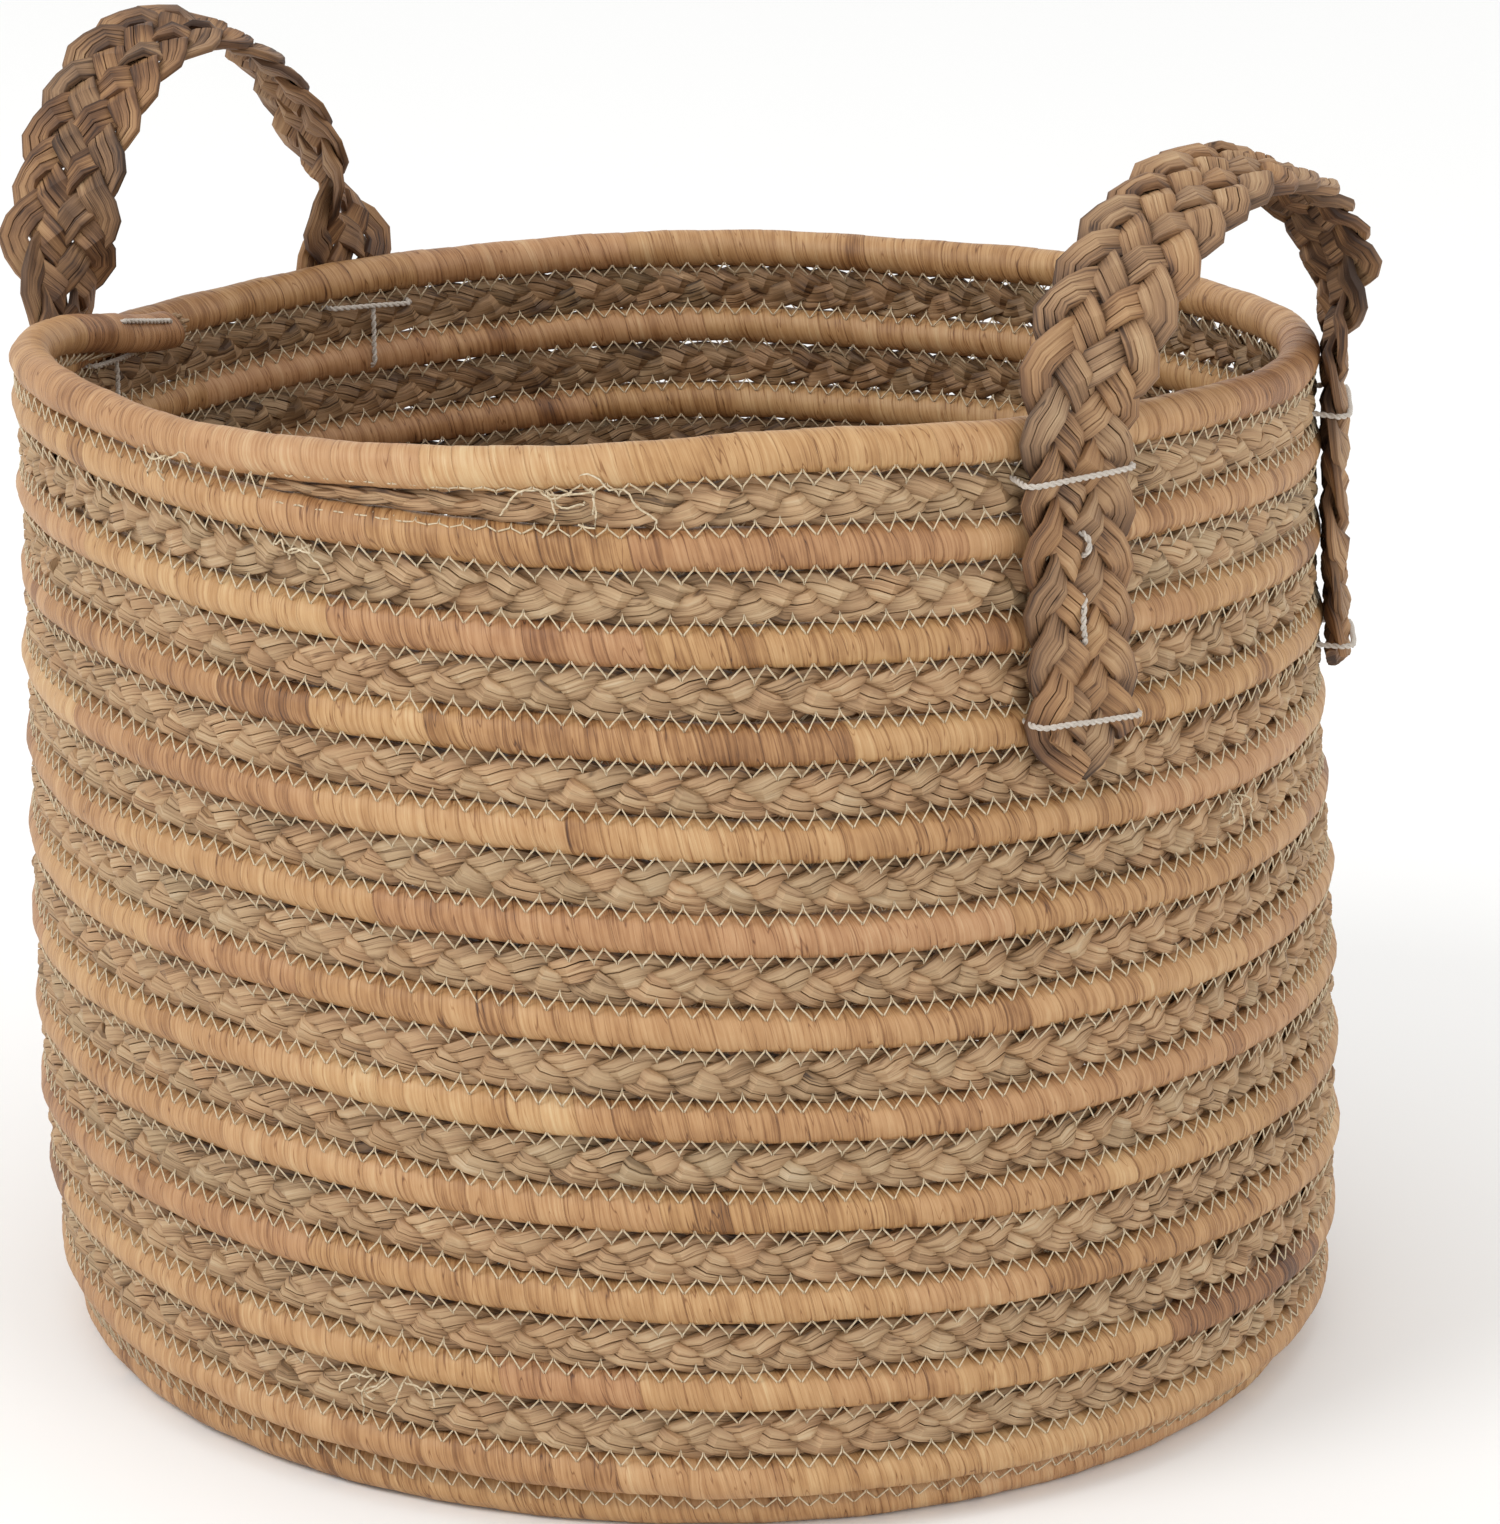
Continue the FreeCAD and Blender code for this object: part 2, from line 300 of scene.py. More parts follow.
def dry_skin(name, stripes, blotches, slit_shadows, ramps, shine, ridges):
    """A dry plant skin: stripes and blotches along its fibres and painted shadow lines where its folds
    overlap, in two ranges of colour.

    stripes and blotches are a noise's repeats per mm (along, across, by ribbon), detail, roughness
    and depth. The slits, painted shadow lines, are repeats, width and darkness, and ridges are strength and
    height in metres.
    """
    material, tree, shader = new_material(name)
    tone = add_node(tree, "Attribute", attribute_name="tone")
    fibre = add_node(tree, "Attribute", attribute_name="fibre")
    tones = add_node(tree, "SeparateXYZ", [(0, tone.outputs["Vector"])])
    shade = tones.outputs["X"]
    noises = []
    for repeats, detail, rough, deep in [stripes] + blotches:
        at = add_node(tree, "VectorMath", [(0, fibre.outputs["Vector"])], operation="MULTIPLY",
                      values=((1, repeats),))
        noise = add_node(tree, "TexNoise", [("Vector", at.outputs[0])],
                         Scale=1.0, Detail=detail, Roughness=rough)
        part = add_node(tree, "Math", [(0, noise.outputs["Fac"])], operation="MULTIPLY_ADD",
                        values=((1, deep), (2, -deep / 2.0)))
        shade = add_node(tree, "Math", [(0, shade), (1, part.outputs[0])], operation="ADD").outputs[0]
        noises.append(noise)
    # painted shade: a slit is the shadow line where one fold overlaps the next, drawn along a line where a
    # stretched noise is level
    repeats, width, painted_shade = slit_shadows
    at = add_node(tree, "VectorMath", [(0, fibre.outputs["Vector"])], operation="MULTIPLY",
                  values=((1, repeats),))
    folds = add_node(tree, "TexNoise", [("Vector", at.outputs[0])], Scale=1.0, Detail=1.0, Roughness=0.4)
    level = add_node(tree, "Math", [(0, folds.outputs["Fac"])], operation="SUBTRACT", values=((1, 0.5),))
    away = add_node(tree, "Math", [(0, level.outputs[0])], operation="ABSOLUTE")
    slit_shadow = add_node(tree, "MapRange", [("Value", away.outputs[0])], From_Max=width, To_Min=painted_shade, To_Max=0.0)
    shade = add_node(tree, "Math", [(0, shade), (1, slit_shadow.outputs[0])], operation="SUBTRACT").outputs[0]
    skin = add_node(tree, "Mix", [(0, tones.outputs["Y"])], data_type="RGBA")
    for key, ramp in zip((6, 7), ramps):
        colours = add_node(tree, "ValToRGB", [(0, shade)], ramp=ramp)
        tree.links.new(colours.outputs[0], skin.inputs[key])
    tree.links.new(skin.outputs[2], shader.inputs["Base Color"])
    fine = noises[0].outputs["Fac"]
    gloss = add_node(tree, "MapRange", [("Value", fine)], To_Min=shine[0], To_Max=shine[1])
    tree.links.new(gloss.outputs[0], shader.inputs["Roughness"])
    ribs = add_node(tree, "Bump", [("Height", fine)], Strength=ridges[0], Distance=ridges[1])
    tree.links.new(ribs.outputs[0], shader.inputs["Normal"])
    return material


# Bark strip, peeled off in ribbons and dried: golden tan to pinkish brown with dark streaks, a
# dull satin skin, and fine fibres that run the length of the ribbon, so nearly square round the coil.
golden_brown = [
    (0.0, "#503017"), (0.28, "#8B6035"), (0.5, "#AE8455"), (0.72, "#BF9869"), (1.0, "#CFB386")]
pinkish_brown = [
    (0.0, "#462917"), (0.28, "#7C5130"), (0.5, "#A2744D"), (0.72, "#B48860"), (1.0, "#C5A37C")]
bark = dry_skin(
    "dried_bark_strip_wrapped",
    # fibres 0.5 mm apart are drawn about 0.9 mm apart, and 25 mm long, so that they show
    stripes=((0.04, 1.1, 5.3), 4.0, 0.62, 0.95),
    blotches=[((0.07, 0.16, 3.1), 3.0, 0.55, 0.7)],
    slit_shadows=((0.035, 0.42, 9.1), 0.016, 0.32),
    ramps=(golden_brown, pinkish_brown), shine=(0.66, 0.42), ridges=(0.55, 0.0006))

coil_turns, coil_lengths = lengths_along(coil_point, TUCK_START, ALL_TURNS + 0.1)
WRAP_PITCH = 9.3
# across a ribbon, from its lap over the last one: place, height, and painted shade, that is how much darker
# it is drawn there, darkest in the step of the lap and a little lighter on its crown
LAP_AT = np.array([0.0, 0.05, 0.3, 0.65, 0.96])
LAP_RISE = np.array([0.02, 0.09, 0.06, 0.02, -0.05])
LAP_SHADE = np.array([-0.16, 0.02, 0.01, 0.0, -0.02])
LAP_ROOM = 0.25  # between the ribbons' mean radius and the coil's full radius
WRAP_SPARE = 8
DARK_RIBBONS, DARK_LAPS = (0.05, 0.20), (0.03, 0.18)  # how many are darker, as a share, and by how much
wrap_count = int(coil_lengths[-1] / WRAP_PITCH * 1.02) + WRAP_SPARE
wrap_widths = WRAP_PITCH * (1.0 + 0.24 * chance.uniform(-1.0, 1.0, wrap_count))
wrap_starts = np.concatenate([[0.0], np.cumsum(wrap_widths)])
wrap_lift = chance.uniform(0.25, 1.5, wrap_count + WRAP_SPARE)
wrap_tone = np.zeros((wrap_count + WRAP_SPARE, 3))
k = 0
while k < wrap_count + WRAP_SPARE:
    run = int(chance.integers(4, 12))  # one ribbon goes round 4 to 11 times
    # how light it is, how pinkish, and which stretch of the grain it shows
    own = np.array([chance.normal(0.56, 0.06), chance.beta(1.0, 1.9), chance.uniform(0.0, 50.0)])
    if chance.random() < DARK_RIBBONS[0]:
        own[0] -= DARK_RIBBONS[1]
    wrap_tone[k:k + run] = own
    k += run
wrap_tone[:, 0] += chance.normal(0.0, 0.025, wrap_count + WRAP_SPARE)
wrap_tone[:, 0] -= np.where(chance.random(wrap_count + WRAP_SPARE) < DARK_LAPS[0], DARK_LAPS[1], 0.0)


def ribbed_coil(first_wrap, last_wrap, around):
    """The coil's skin between two laps: a grid that winds round it like the ribbons do."""
    radius = COIL_RADIUS - LAP_ROOM
    k_all = len(LAP_AT)
    lead = k_all  # a ribbon's far edge meets its own near edge, one round further on
    first, last = first_wrap * k_all, last_wrap * k_all
    i = np.arange(first, last + lead + 1)
    own = i // k_all
    at = wrap_starts[own] + LAP_AT[i % k_all] * (wrap_starts[own + 1] - wrap_starts[own])
    far = np.clip(i + lead, 0, (len(wrap_starts) - 2) * k_all)
    far_own = far // k_all
    ahead = wrap_starts[far_own] + LAP_AT[far % k_all] * (wrap_starts[far_own + 1] - wrap_starts[far_own])
    j = np.arange(around)
    s = at[:, None] + (ahead - at)[:, None] * j[None, :] / around
    turn = np.interp(s, coil_lengths, coil_turns)
    centre, _, up, out = frames(coil_point, turn)
    theta = (math.pi + 2.0 * math.pi * j / around)[None, :]
    rise = (LAP_RISE[i % k_all] * wrap_lift[own])[:, None]
    # the core under the ribbons is a little out of round, and turns slowly along its length
    uneven = 0.13 * np.sin(s * 0.21 + 2.0 * theta) + 0.10 * np.sin(s * 0.083 + 3.0 * theta)
    r = radius + rise + uneven
    points = centre + up * (r * np.cos(theta))[..., None] + out * (r * np.sin(theta))[..., None]
    width = np.diff(wrap_starts)[own]
    across = np.broadcast_to((LAP_AT[i % k_all] * width)[:, None], s.shape)
    girth = 2.0 * math.pi * radius
    along = own[:, None] * girth + girth * j[None, :] / around
    strip = np.broadcast_to(wrap_tone[own, 2][:, None], s.shape)
    fibre = np.stack([along, across, strip], axis=-1)
    # painted shade: each ribbon is drawn darker along the step where it laps over the last, more so where the
    # lap stands higher
    edge_shade = LAP_SHADE[i % k_all] * wrap_lift[own]
    tone = np.stack([
        np.broadcast_to((wrap_tone[own, 0] + edge_shade)[:, None], s.shape),
        np.broadcast_to(wrap_tone[own, 1][:, None], s.shape),
        np.zeros(s.shape)], axis=-1)
    index = np.arange(points.shape[0] * around).reshape(-1, around)
    steps = last - first
    beside = np.concatenate([index[:, 1:], np.roll(index[:, :1], -lead, axis=0)], axis=1)
    quads = np.stack([index[:steps], beside[:steps], beside[1:steps + 1], index[1:steps + 1]], axis=-1)
    uv = lane_uv(steps, around, lane=0, lanes=1, cuts=6)
    caps, cap_points = [], []
    for n, start in enumerate((0, steps)):
        rim = np.concatenate([index[start], index[start + 1:start + lead + 1, 0][::-1]])
        middle = points.reshape(-1, 3)[rim].mean(axis=0)
        hub = points.shape[0] * around + n
        cap_points.append(middle)
        after = np.roll(rim, -1)
        for a, b in zip(rim, after):
            caps.append(np.array([hub, b, a] if n == 0 else [hub, a, b]))
    spare = np.zeros((2, 3))
    used = np.concatenate([points.reshape(-1, 3), np.array(cap_points)])
    return block(used, quads.reshape(-1, 4), uv.reshape(-1, 4, 2), caps,
                 np.concatenate([tone.reshape(-1, 3), spare + tone[0, 0]]),
                 np.concatenate([fibre.reshape(-1, 3), spare + fibre[0, 0]]))


WALL_FACETS, BASE_FACETS = 22, 16  # round the coil


def drop_loose_points(piece):
    """Takes away the grid's points that no face uses."""
    work = bmesh.new()
    work.from_mesh(piece.data)
    loose = [v for v in work.verts if not v.link_faces]
    bmesh.ops.delete(work, geom=loose, context="VERTS")
    work.to_mesh(piece.data)
    work.free()


for turn in range(ALL_TURNS):
    begin = np.interp(TUCK_START if turn == 0 else turn, coil_turns, coil_lengths)
    end = np.interp(turn + 1, coil_turns, coil_lengths)
    first_wrap = int(np.searchsorted(wrap_starts, begin))
    last_wrap = int(np.searchsorted(wrap_starts, end))
    skin_block = ribbed_coil(first_wrap, last_wrap, WALL_FACETS if turn < WALL_TURNS else BASE_FACETS)
    piece = make_piece("wrapped_coil_%02d" % (turn + 1), [skin_block], bark)
    drop_loose_points(piece)
    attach(piece, "basket")
    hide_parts("coil_turn_%02d" % (turn + 1))

# The coil starts in the middle of the base with its own end bent over into a small wrapped knob.
START_OFFSET, START_ANGLE, START_RADIUS = 3.6, 250.0, 4.9
KNOB_LAPS, KNOB_FACETS = 7, 24
lift = np.linspace(0.02, 0.98, len(LAP_AT) * KNOB_LAPS) * math.pi
round_knob = np.linspace(0.0, 2.0 * math.pi, KNOB_FACETS, endpoint=False)
lap = LAP_RISE[np.arange(len(lift)) % len(LAP_AT)] * 0.6
size = (START_RADIUS + lap)[:, None]
knob = np.stack([
    size * np.sin(lift)[:, None] * np.cos(round_knob)[None, :],
    size * np.sin(lift)[:, None] * np.sin(round_knob)[None, :],
    np.broadcast_to(-size * np.cos(lift)[:, None], (len(lift), KNOB_FACETS))], axis=-1)
knob[..., 0] += START_OFFSET * math.cos(math.radians(START_ANGLE))
knob[..., 1] += START_OFFSET * math.sin(math.radians(START_ANGLE))
knob[..., 2] += BASE_HEIGHT
knob_tone = np.zeros(knob.shape) + np.array([0.5, 0.3, 0.0])
knob_fibre = np.stack([
    np.broadcast_to(round_knob[None, :] * START_RADIUS, knob.shape[:2]),
    np.broadcast_to(lift[:, None] * START_RADIUS * 2.0, knob.shape[:2]),
    np.zeros(knob.shape[:2])], axis=-1)
piece = make_piece("coil_start_knob", [tube(knob, tone=knob_tone, fibre=knob_fibre)], bark)
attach(piece, "basket")
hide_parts("coil_start")

# --------------------------------------------------
# The seagrass plait
# Three strands of dried leaf, each a few blades laid together, are plaited into a long flat braid
# that fills the space between one turn of the coil and the next. It is spliced once, near the top.

PLAIT_FOOT, PLAIT_TURNS = 11.1, 11  # the turn where it ends, at the foot of the wall
PLAIT_WIDTH = 13.2
SEAM_GAP = 0.4  # the least that the plait is narrower than the space between two turns of coil
SPLICE_TURN = 2.15  # above it the plait points one way, below it the other
PLAIT = {
    "period": 43.5,  # along the plait, from where a strand leaves an edge to where it next does
    "swing": 3.5,  # how far a strand's middle strays to each side
    "round": 0.84,  # how softly a strand turns back at an edge, softer towards 0
    "half_width": 4.3,
    "thick": 1.9,
    "square": 0.7,  # 1 for a rounded strand, towards 0 for a flat one
    "lift": 2.9,  # how far a strand's middle lies in front where it goes over
    "lean": 0.55,  # how far along itself a strand's edges rise before or after its middle
    "over": np.array([0.0, 1.0, -1.0, 0.0, 1.0, -1.0]),  # under or over, six times in a period
    "stray": 0.4,
}


def plait_at(turn):
    top = coil_at(turn)[1] - COIL_RADIUS
    bottom = coil_at(turn + 1.0)[1] + COIL_RADIUS
    height = (top + bottom) / 2.0
    return wall_radius(height), height, np.minimum(PLAIT_WIDTH, (top - bottom) - SEAM_GAP)


def plait_point(turn):
    radius, height, _ = plait_at(turn)
    return place(TOP_END_ANGLE + 360.0 * turn, radius, height)


def over_under(pattern, u):
    """How far a strand is in front of or behind the braid's middle, between whole crossings."""
    x = (u % 1.0) * len(pattern)
    i = np.floor(x).astype(int) % len(pattern)
    share = smooth(x - np.floor(x))
    return pattern[i] * (1.0 - share) + pattern[(i + 1) % len(pattern)] * share


# places round a strand of three blades, as (share of its half-width, share of its thickness), with a
# sharp crease between blades at a third of the width on each face
STRAND_FACE = [(1.0, 0.0), (0.95, 0.55), (0.66, 0.95), (0.38, 0.9), (0.33, 0.42), (0.28, 0.95), (0.0, 1.05),
               (-0.28, 0.95), (-0.33, 0.42), (-0.38, 0.9), (-0.66, 0.95), (-0.95, 0.55)]
STRAND_ROUND = np.array(STRAND_FACE + [(-along, -deep) for along, deep in STRAND_FACE])
STRAND_BLADE = np.digitize(STRAND_ROUND[:, 0], [-0.33, 0.33])
STRAND_CREASE = np.abs(STRAND_ROUND[:, 0]) == 0.33
STRAND_EDGE_SHADE = np.where(np.abs(STRAND_ROUND[:, 0]) > 0.9, 0.14, -0.03)  # painted shade: a strand's edges, where it meets the next, are drawn darker, and the rest of it a little lighter
STRAND_CREASE_SHADE = 0.36  # painted shade: how much darker an open crease is drawn
# every how many mm each measure of a strand changes, and by how much
STRAND_DRIFT = {
    "stray": (20.0, 1.0), "width": (12.0, 0.07), "thickness": (15.0, 0.08), "tilt": (12.0, 0.22),
    "crease": (11.0, 0.6), "blade": (17.0, 0.10), "grey": (50.0, 0.3),
}


def drifting(s, measure, rng):
    """How one of a strand's measures drifts, at each of its lengths s."""
    step, spread = STRAND_DRIFT[measure]
    knots = rng.normal(0.0, spread, int((s[-1] - s[0]) / step) + 4)
    return np.interp((s - s[0]) / step, np.arange(len(knots)), knots)


def creased_strand(braid, s, phase, way, fields, fill, rng, lane, lanes):
    """One strand of a flat braid: a creased bundle of blades that turns back at each edge.

    fields are the braid's middle line, direction, side and face at each of the lengths s.
    """
    line, along, side, face = fields
    u = way * s / braid["period"] + phase
    wave = np.arcsin(braid["round"] * np.cos(2.0 * math.pi * u)) / math.asin(braid["round"])
    y = (braid["swing"] * wave + drifting(s, "stray", rng) * braid["stray"]) * fill
    slope = (np.gradient(y) / np.gradient(s))[:, None]
    across = unit(unit(side) - unit(along) * slope)
    low = np.clip(fill, 0.45, 1.0)
    half = braid["half_width"] * fill * (1.0 + drifting(s, "width", rng))
    thick = braid["thick"] * low * (1.0 + drifting(s, "thickness", rng))
    reach = half[:, None] * STRAND_ROUND[:, 0]
    # the strand that crosses over slants the other way, so this one's two edges dip at different places
    shift = reach * braid["lean"] * np.tanh(-2.5 * way * np.sin(2.0 * math.pi * u))[:, None]
    d = braid["lift"] * over_under(braid["over"], u[:, None] + way * shift / braid["period"]) * low[:, None]
    tilt = drifting(s, "tilt", rng)[:, None]
    flat = across * np.cos(tilt) + unit(face) * np.sin(tilt)
    out = unit(face) * np.cos(tilt) - across * np.sin(tilt)
    rings = line[:, None] + (side * y[:, None])[:, None] + flat[:, None] * reach[..., None]
    through = np.sign(STRAND_ROUND[:, 1]) * np.abs(STRAND_ROUND[:, 1]) ** braid["square"]
    # a crease opens and closes along the strand
    folds = np.clip(0.55 + np.stack([drifting(s, "crease", rng) for _ in range(2)], axis=1), 0.0, 1.3)
    open_fold = folds[:, (STRAND_ROUND[:, 0] > 0.0).astype(int)] * STRAND_CREASE
    through = through + (1.0 - open_fold) * STRAND_CREASE * (np.sign(through) * 0.95 - through)
    rings = rings + face[:, None] * d[..., None] + out[:, None] * (thick[:, None] * through)[..., None]
    # painted shade drawn into the colour at the strand's edges and in its open creases
    painted_shade = STRAND_EDGE_SHADE + STRAND_CREASE_SHADE * open_fold
    shape = rings.shape[:2]
    blades = np.stack([0.54 + drifting(s, "blade", rng) for _ in range(3)], axis=1)
    marks = np.clip(0.3 + drifting(s, "grey", rng), 0.0, 1.0)
    crossing_shade = 0.22 * np.clip(0.35 - d / braid["lift"], -0.45, 1.3)  # painted shade where a strand dives under, and a little painted light where it lies on top
    tone = np.stack([
        blades[:, STRAND_BLADE] - painted_shade - crossing_shade, np.broadcast_to(marks[:, None], shape),
        np.zeros(shape)], axis=-1)
    run = run_lengths(line + side * y[:, None])
    grain = np.stack([
        np.broadcast_to(run[:, None], shape), reach + STRAND_ROUND[:, 1] * thick[:, None],
        np.full(shape, lane * 3.7 + phase)], axis=-1)
    return tube(rings, lane, lanes, cuts=4, tone=tone, fibre=grain)


# Dried seagrass leaf, folded lengthwise and plaited: grey-tan blades, some greener, some browner,
# with a fine grain along each blade and a soft, slightly waxy skin.
tan_leaf = [
    (0.0, "#49301C"), (0.3, "#826140"), (0.5, "#A4805C"), (0.72, "#B6946E"), (1.0, "#C5AD89")]
grey_leaf = [
    (0.0, "#41301F"), (0.3, "#765E3F"), (0.5, "#997F5F"), (0.72, "#AC9371"), (1.0, "#C0AC8F")]
leaf = dry_skin(
    "dried_seagrass_plaited",
    # veins of a blade lie 0.4 mm apart; they are drawn 0.7 mm apart so that they show
    stripes=((0.05, 1.4, 4.1), 4.0, 0.65, 0.9),
    blotches=[],
    slit_shadows=((0.022, 0.62, 7.7), 0.022, 0.36),
    ramps=(tan_leaf, grey_leaf), shine=(0.72, 0.5), ridges=(0.6, 0.0006))

plait_turns, plait_lengths = lengths_along(plait_point, PLAIT_TOP - 0.01, PLAIT_FOOT + 0.05)
SAMPLES_PER_PERIOD = 12  # few, so a strand keeps the straight runs and sharp bends of stiff leaf


def braid_three(first, last, way, key):
    """Three strands over and under one another along the wall between two turns."""
    a, b = np.interp([first, last], plait_turns, plait_lengths)
    step = PLAIT["period"] / SAMPLES_PER_PERIOD
    s = np.concatenate([[a], np.arange(math.ceil(a / step + 0.3), b / step - 0.3) * step, [b]])
    turns = np.interp(s, plait_lengths, plait_turns)
    fill = plait_at(turns)[2] / PLAIT_WIDTH
    rng = np.random.default_rng(900 + key)
    fields = frames(plait_point, turns)
    return [creased_strand(PLAIT, s, n / 3.0, way, fields, fill, rng, n, 3) for n in range(3)]


for turn in range(PLAIT_TURNS):
    first = PLAIT_TOP + 0.045 if turn == 0 else turn
    last = PLAIT_FOOT if turn == PLAIT_TURNS - 1 else turn + 1.0
    if first < SPLICE_TURN < last:
        runs = [(first, SPLICE_TURN + 0.004, 1), (SPLICE_TURN - 0.004, last, -1)]
    else:
        runs = [(first, last, 1 if turn < SPLICE_TURN else -1)]
    strands = []
    for n, (a, b, way) in enumerate(runs):
        strands += braid_three(a, b, way, 10 + turn + 40 * n)
    piece = make_piece("seagrass_plait_%02d" % (turn + 1), strands, leaf)
    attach(piece, "basket")
    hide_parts("plait_turn_%02d" % (turn + 1))

# --------------------------------------------------
# The sewing
# A machine's zigzag of off-white thread runs along every seam, inside and out. Each stitch goes
# straight across the valley between two strips and down into the next needle hole.

STITCH_STEP = 3.2
THREAD_RADIUS = 0.25
HOLE_DEPTH = 1.3
STITCH_STRAY, HOLE_STRAY = 0.16, 0.14  # how uneven stitches are along the seam, and holes in all ways
STITCH_FREE, THREAD_PROUD = 0.10, 0.12  # a stitch lies a little proud from a tenth of its length on


def spun_skin(name, repeats, ramp, rough, fuzz):
    """Spun fibre: a fine twist, as colour and as bumps fuzz metres high. repeats are per mm."""
    material, tree, shader = new_material(name)
    fibre = add_node(tree, "Attribute", attribute_name="fibre")
    at = add_node(tree, "VectorMath", [(0, fibre.outputs["Vector"])], operation="MULTIPLY",
                  values=((1, repeats),))
    twist = add_node(tree, "TexNoise", [("Vector", at.outputs[0])], Scale=1.0, Detail=3.0, Roughness=0.6)
    spun = add_node(tree, "ValToRGB", [(0, twist.outputs["Fac"])], ramp=ramp)
    tree.links.new(spun.outputs[0], shader.inputs["Base Color"])
    shader.inputs["Roughness"].default_value = rough
    bumps = add_node(tree, "Bump", [("Height", twist.outputs["Fac"])], Strength=0.5, Distance=fuzz)
    tree.links.new(bumps.outputs[0], shader.inputs["Normal"])
    return material


# Spun cotton thread, undyed: an even off-white, matt, with a fine twist that shows as dashes.
thread = spun_skin(
    "undyed_cotton_thread_spun",
    repeats=(0.9, 0.6, 1.0),  # the ply's twist repeats every 0.8 mm, drawn every 1.1 mm
    ramp=[(0.25, "#9C876B"), (0.5, "#C9B899"), (0.75, "#E4D9C3")], rough=0.8, fuzz=0.0003)


def rod(line, radius, around, lane=0, lanes=1, cuts=1):
    """A round rod along a line of points."""
    along = unit(np.gradient(line, axis=0))
    side = np.cross(along, np.broadcast_to([0.0, 0.0, 1.0], along.shape))
    weak = np.linalg.norm(side, axis=1) < 0.05
    side[weak] = np.cross(along[weak], np.array([0.3, 0.95, 0.1]))
    side = unit(side)
    other = np.cross(along, side)
    phi = (np.arange(around) / around * 2.0 * math.pi)[None, :, None]
    size = np.broadcast_to(radius, (len(line),))[:, None, None]
    rings = line[:, None] + size * (np.cos(phi) * side[:, None] + np.sin(phi) * other[:, None])
    s = run_lengths(line)
    shape = rings.shape[:2]
    fibre = np.stack([
        np.broadcast_to(s[:, None], shape), np.broadcast_to(np.arange(around)[None, :] * 1.0, shape),
        np.full(shape, lane * 1.3)], axis=-1)
    return tube(rings, lane, lanes, cuts, np.full(shape + (3,), 0.5), fibre)


def zigzag(first, last, upper, lower, upper_hole, lower_hole, face, rng, lane, lanes):
    """Stitches to and fro between two strips. Holes are (towards the seam, proud of the middle)."""
    a, b = np.interp([first, last], coil_turns, coil_lengths)
    count = max(3, int((b - a) / STITCH_STEP))
    s = np.linspace(a, b, count) + rng.normal(0.0, STITCH_STRAY, count)
    turns = np.interp(s, coil_lengths, coil_turns)
    top, along, _, _ = frames(upper, turns)
    bottom = lower(turns)
    down = unit(bottom - top)
    out = np.cross(down, along) * -face
    high = top + down * upper_hole[0] + out * upper_hole[1]
    low = bottom - down * lower_hole[0] + out * lower_hole[1]
    is_high = (np.arange(count) % 2 == 0)[:, None]
    hole = np.where(is_high, high, low) + rng.normal(0.0, HOLE_STRAY, (count, 3))
    inward = np.where(is_high, unit(top - high), unit(bottom - low))
    points = np.empty((count * 3 - 2, 3))
    points[0::3] = hole + inward * HOLE_DEPTH
    step = hole[1:] - hole[:-1]
    points[1::3] = hole[:-1] + step * STITCH_FREE - inward[:-1] * THREAD_PROUD
    points[2::3] = hole[:-1] + step * (1.0 - STITCH_FREE) - inward[1:] * THREAD_PROUD
    return rod(points, THREAD_RADIUS, 4, lane, lanes, cuts=12)


def lower_coil(turn):
    return coil_point(turn + 1.0)


OPEN_FROM = PLAIT_TOP + 0.05  # from here down the plait has a seam above and one below
COIL_HOLE = (4.0, 4.7)
PLAIT_HOLE = (4.8, 3.5)


def seams_between(first, last, key):
    """Every zigzag that a stretch of the spiral carries, on the outside and on the inside."""
    seams = []
    for a, b, upper, lower, upper_hole, lower_hole in (
        (TUCK_START + 0.02, OPEN_FROM, coil_point, lower_coil, COIL_HOLE, COIL_HOLE),
        (OPEN_FROM, PLAIT_FOOT, coil_point, plait_point, COIL_HOLE, PLAIT_HOLE),
        (OPEN_FROM, PLAIT_FOOT, plait_point, lower_coil, PLAIT_HOLE, COIL_HOLE),
        (PLAIT_FOOT, ALL_TURNS - 1.3, coil_point, lower_coil, COIL_HOLE, COIL_HOLE),
    ):
        a, b = max(a, first), min(b, last)
        if b - a > 0.003:
            seams += [(a, b, upper, lower, upper_hole, lower_hole, face) for face in (1, -1)]
    rng = np.random.default_rng(4000 + key)
    return [zigzag(*seam, rng, n, len(seams)) for n, seam in enumerate(seams)]


sewn_runs = [(TUCK_START, 1.0)] + [(turn, turn + 1.0) for turn in range(1, WALL_TURNS)]
sewn_runs += [(12.0, 15.0), (15.0, 19.0), (19.0, 25.0)]  # the base's turns shorten inwards
for n, (first, last) in enumerate(sewn_runs):
    piece = make_piece("zigzag_sewing_%02d" % (n + 1), seams_between(first, last, n), thread, 0.3)
    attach(piece, "basket")
